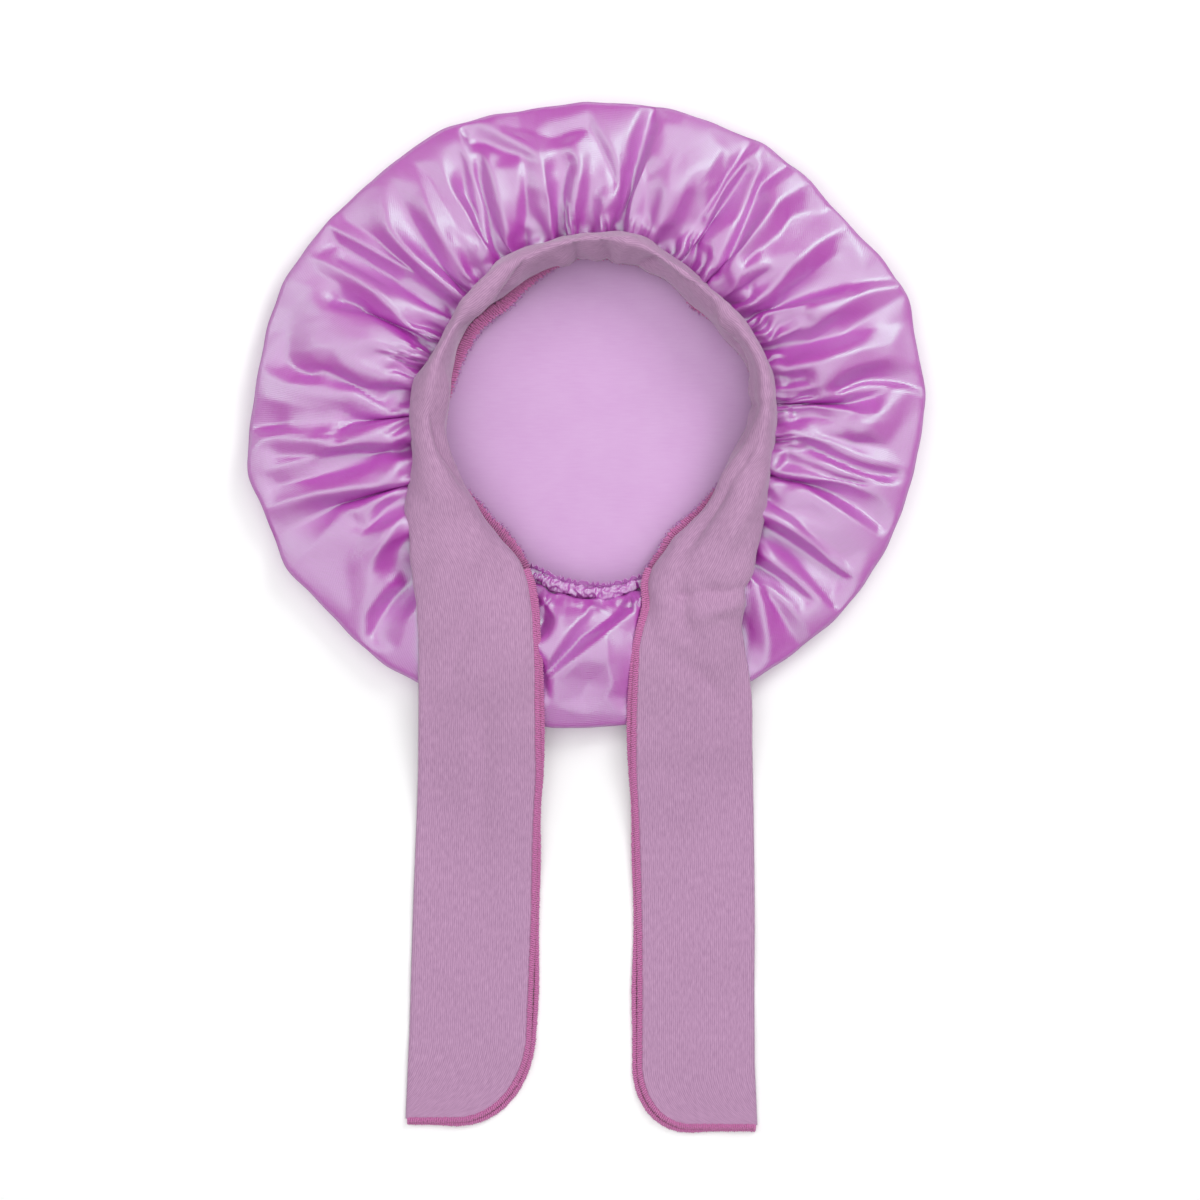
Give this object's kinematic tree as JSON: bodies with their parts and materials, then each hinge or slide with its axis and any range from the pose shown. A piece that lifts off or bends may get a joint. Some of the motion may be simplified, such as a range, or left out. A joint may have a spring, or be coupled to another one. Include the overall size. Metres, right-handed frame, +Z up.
{
  "type": "satin bonnet",
  "caption": "Gathered satin sleep bonnet lying open side up, with a folded jersey tie band round the opening, an elastic nape casing and flat ties.",
  "frame": {"origin": "centre of the crown's flat underside, on the surface that it lies on", "axes": "+Z up, out of the opening; +Y from the nape towards the front of the band; the ties lie along -Y"},
  "size_m": [0.3598, 0.5457, 0.0417],
  "materials": {
    "satin": "glossy polyester satin, face out",
    "jersey": "matte fine-ribbed stretch jersey",
    "overlock_thread": "matte polyester overlock thread"
  },
  "bodies": {
    "root": {"satin_crown": "satin", "nape_casing": "satin", "tie_band": "jersey", "band_seam": "overlock_thread", "left_tie_overlock": "overlock_thread", "right_tie_overlock": "overlock_thread"}
  },
  "joints": []
}
